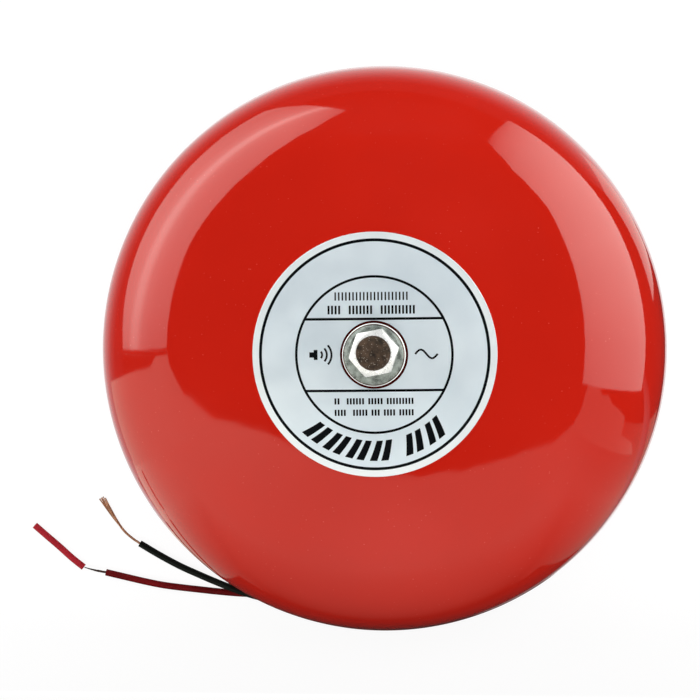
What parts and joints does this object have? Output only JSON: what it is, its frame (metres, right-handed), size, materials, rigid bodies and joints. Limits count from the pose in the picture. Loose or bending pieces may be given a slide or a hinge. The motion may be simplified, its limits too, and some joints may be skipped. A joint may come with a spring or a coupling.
{
  "type": "fire alarm bell",
  "caption": "Red round fire alarm bell: domed gong on a bolted pillar over a solenoid striker, wall plate and two flying leads.",
  "frame": {"origin": "centre of the wall face, on the gong's axis", "axes": "+Z out of the wall through the gong bolt, +Y towards the top of the bell as hung, where the hammer strikes"},
  "size_m": [0.2271, 0.2, 0.0688],
  "materials": {
    "red_enamel": "gloss fire-red enamel on pressed steel",
    "printed_foil": "satin foil with thin black print",
    "bright_zinc": "bright zinc plate",
    "plated_steel": "dull zinc plate",
    "black_moulding": "fine spark texture",
    "black_rubber": "matt moulded rubber",
    "white_nylon": "natural nylon",
    "copper": "bare and enamelled copper wire",
    "brass": "turned brass",
    "coil_tape": "yellow polyester tape",
    "fibre": "vulcanised fibre",
    "spring_steel": "drawn spring wire",
    "blue_epoxy": "dipped epoxy",
    "black_lead": "soft extruded insulation",
    "red_lead": "soft extruded insulation, dark red",
    "red_stub": "cut end of red insulation"
  },
  "bodies": {
    "base": {"wall_gasket": "black_rubber", "mounting_plate": "plated_steel", "gong_post": "plated_steel", "post_washer": "fibre", "housing": "black_moulding", "housing_screws": "plated_steel", "lid_seal": "black_rubber", "housing_lid": "black_moulding", "lid_screws": "plated_steel", "coil_frame": "plated_steel", "frame_screws": "plated_steel", "coil_bobbin": "white_nylon", "coil_winding": "copper", "coil_tape": "coil_tape", "guide_tube": "brass", "back_stop": "black_rubber", "nose_bush": "white_nylon", "rod_seal": "black_rubber", "return_spring": "spring_steel", "terminal_block": "white_nylon", "terminal_clamps": "brass", "terminal_screws": "plated_steel", "varistor": "blue_epoxy", "coil_wires": "red_stub", "inner_leads": "red_lead", "cable_grommet": "black_rubber", "lead_black": "black_lead", "lead_black_strands": "copper", "lead_red": "red_lead", "lead_red_strands": "copper", "lead_red_stub": "red_stub"},
    "gong_assembly": {"gong": "red_enamel", "nameplate": "printed_foil"},
    "bolt": {"gong_bolt": "bright_zinc", "plain_washer": "bright_zinc"},
    "striker": {"plunger": "plated_steel", "striker_rod": "plated_steel", "spring_collar": "brass", "hammer": "plated_steel"}
  },
  "joints": [
    {"name": "gong_pull", "type": "slide", "parent": "base", "child": "gong_assembly", "axis": [0, 0, 1], "range_m": [0, 0.08]},
    {"name": "bolt_turn", "type": "hinge", "parent": "gong_assembly", "child": "bolt", "pos_m": [0, 0, 0.06], "axis": [0, 0, 1], "continuous": true},
    {"name": "striker_slide", "type": "slide", "parent": "base", "child": "striker", "axis": [0, 1, 0], "range_m": [-0.004, 0.0008], "stiffness_N_per_m": 300, "deforming": ["return_spring"]}
  ]
}
